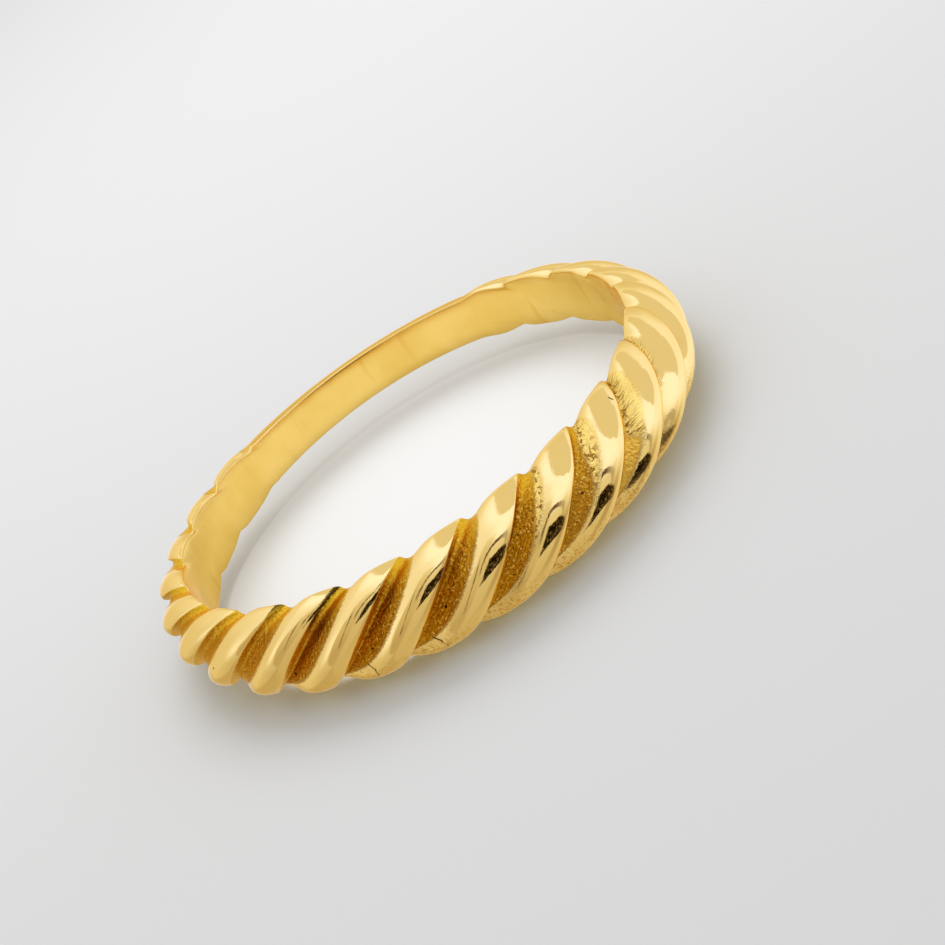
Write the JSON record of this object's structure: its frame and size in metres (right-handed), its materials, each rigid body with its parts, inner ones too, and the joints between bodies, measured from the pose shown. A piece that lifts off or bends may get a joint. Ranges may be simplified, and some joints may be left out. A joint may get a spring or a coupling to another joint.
{
  "type": "rope twist ring",
  "caption": "Plain one-piece gold finger ring whose half-round band is a slanting rope twist, tapering to a smooth plain stretch at the back.",
  "frame": {"origin": "centre of the finger hole, half way between the two rims", "axes": "+Z along the finger hole; the wide front of the band faces -Y and the plain back faces +Y; the ring lies on its lower rim"},
  "size_m": [0.02, 0.0198, 0.0034],
  "materials": {
    "gold": "polished 14 carat yellow gold on the lobes, fine cast grain in the grooves"
  },
  "bodies": {
    "root": {"band": "gold"}
  },
  "joints": []
}
